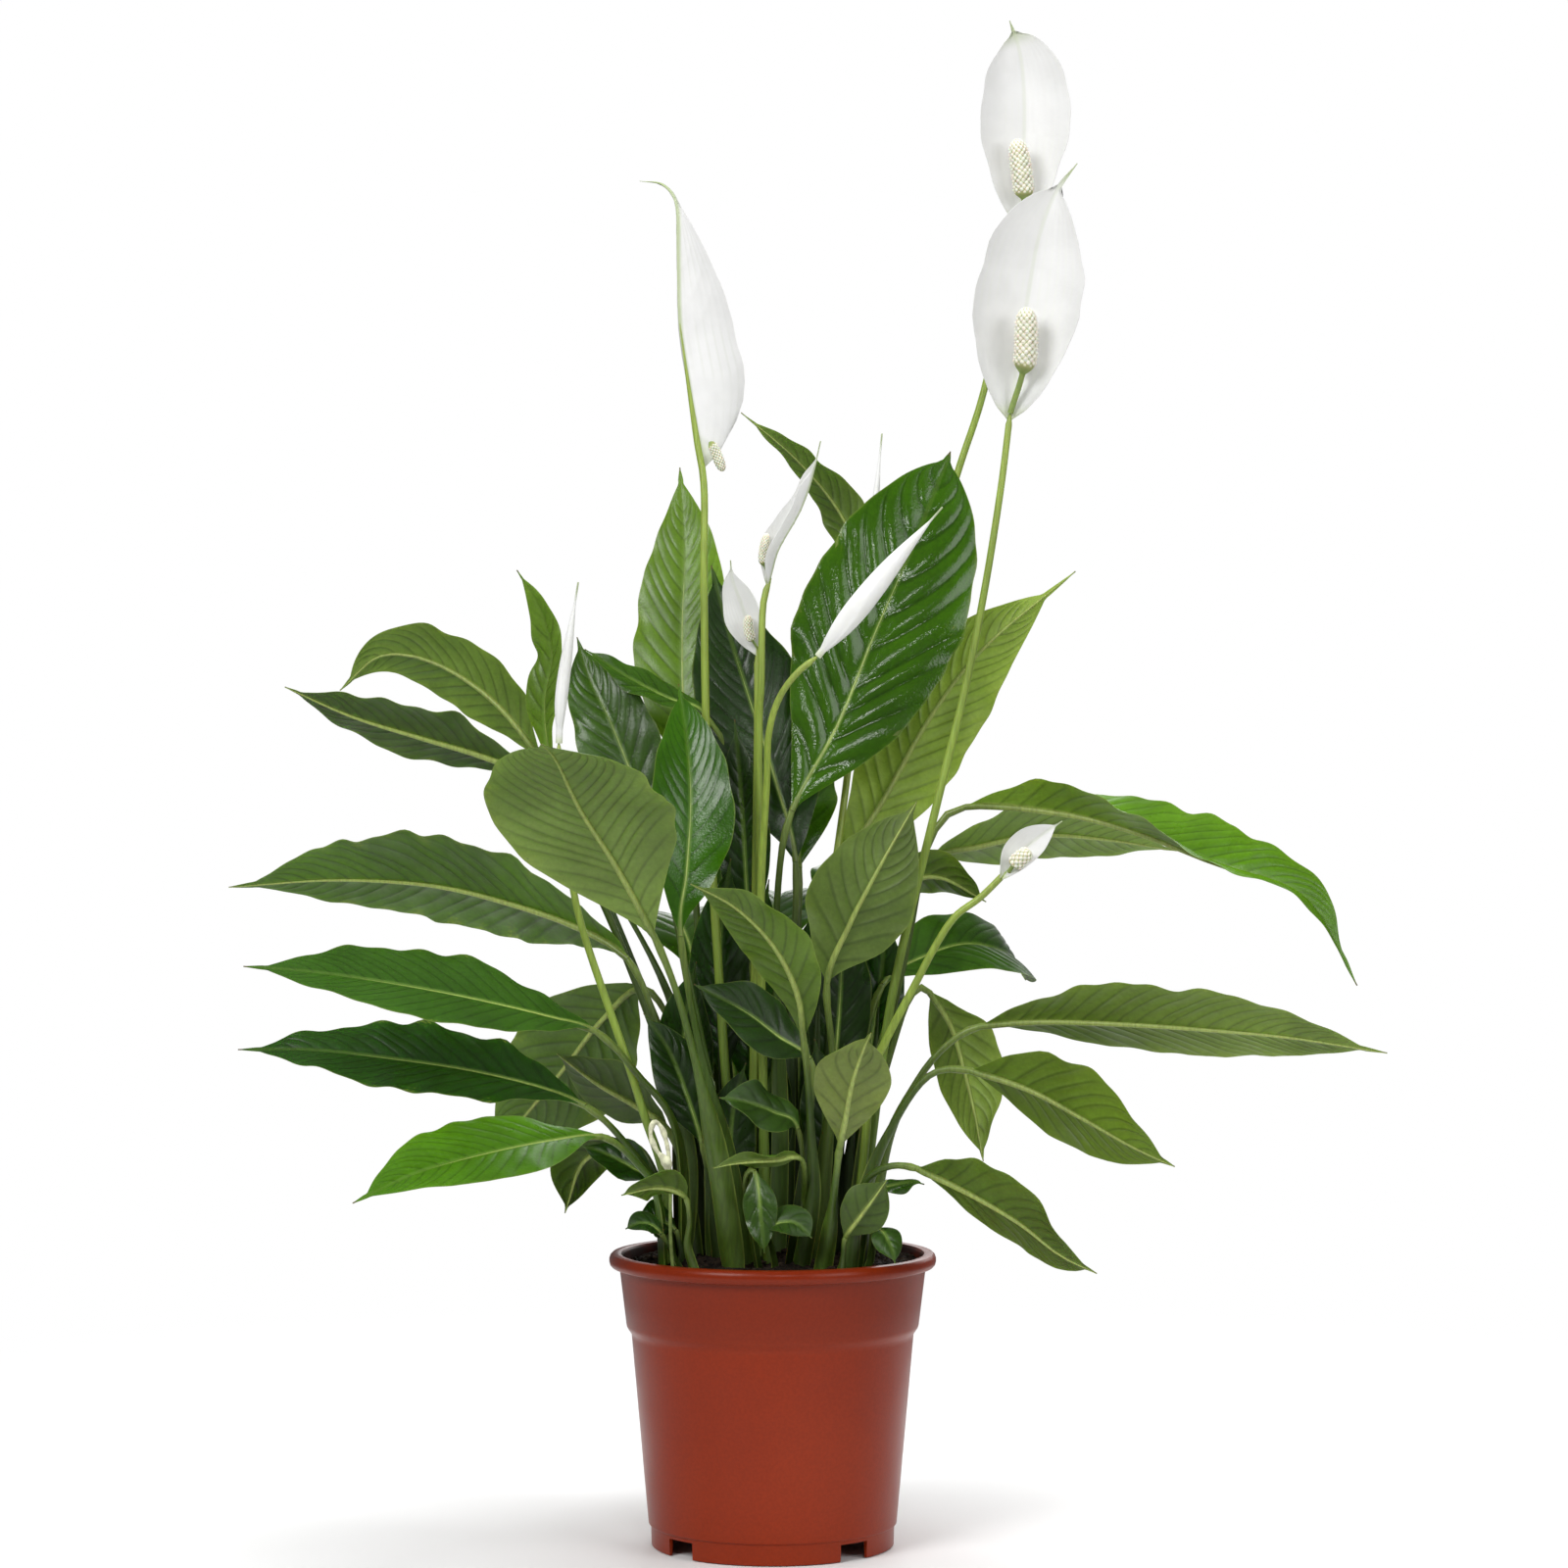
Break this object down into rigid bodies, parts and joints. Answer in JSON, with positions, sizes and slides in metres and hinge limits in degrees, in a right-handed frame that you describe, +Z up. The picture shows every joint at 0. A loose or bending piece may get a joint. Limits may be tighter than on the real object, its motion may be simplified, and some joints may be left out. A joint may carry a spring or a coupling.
{
  "type": "potted peace lily",
  "caption": "Peace lily with glossy arching leaves and upright white spathe flowers, growing in a round plastic nursery pot.",
  "frame": {"origin": "on the pot's axis at the plane its foot stands on", "axes": "+Z up, the plant's front faces -Y, +X to the viewer's right"},
  "size_m": [0.6034, 0.3804, 0.8081],
  "materials": {
    "terracotta": "semi-gloss moulded",
    "soil": "loose granular",
    "leaf_dark": "glossy",
    "leaf_bright": "glossy",
    "leaf_olive": "satin",
    "stem": "satin",
    "spathe": "satin",
    "spadix": "bumpy",
    "withered": "dry"
  },
  "bodies": {
    "root": {"back_bud": "spathe", "back_bud_stem": "stem", "front_bud": "spathe", "front_bud_stem": "stem", "leaf_back_dark": "leaf_dark", "leaf_back_striped": "leaf_bright", "leaf_back_top": "leaf_olive", "leaf_centre_glossy": "leaf_dark", "leaf_centre_grey": "leaf_olive", "leaf_centre_pale": "leaf_olive", "leaf_centre_shaded": "leaf_dark", "leaf_centre_small": "leaf_olive", "leaf_front_bright": "leaf_bright", "leaf_front_large": "leaf_olive", "leaf_left_bottom": "leaf_bright", "leaf_left_dark": "leaf_dark", "leaf_left_drooping": "leaf_olive", "leaf_left_folded": "leaf_bright", "leaf_left_large": "leaf_olive", "leaf_left_middle": "leaf_dark", "leaf_left_olive": "leaf_olive", "leaf_left_pointed": "leaf_dark", "leaf_left_tall": "leaf_olive", "leaf_left_upper": "leaf_olive", "leaf_low_left": "leaf_olive", "leaf_low_right": "leaf_olive", "leaf_rear_left": "leaf_dark", "leaf_rear_middle": "leaf_dark", "leaf_rear_right": "leaf_dark", "leaf_right_arching": "leaf_bright", "leaf_right_behind": "leaf_olive", "leaf_right_bottom": "leaf_olive", "leaf_right_dark": "leaf_dark", "leaf_right_hanging": "leaf_olive", "leaf_right_lower": "leaf_olive", "leaf_right_middle": "leaf_olive", "leaf_right_pale": "leaf_olive", "left_bud": "spathe", "left_bud_stem": "stem", "left_flower_spadix": "spadix", "left_flower_spathe": "spathe", "left_flower_stem": "stem", "little_flower_spadix": "spadix", "little_flower_spathe": "spathe", "little_flower_stem": "stem", "lower_flower_spadix": "spadix", "lower_flower_spathe": "spathe", "lower_flower_stem": "stem", "middle_flower_spadix": "spadix", "middle_flower_spathe": "spathe", "middle_flower_stem": "stem", "nursery_pot": "terracotta", "potting_soil": "soil", "right_flower_spadix": "spadix", "right_flower_spathe": "spathe", "right_flower_stem": "stem", "top_flower_spadix": "spadix", "top_flower_spathe": "spathe", "top_flower_stem": "stem", "withered_flower": "withered"}
  },
  "joints": []
}
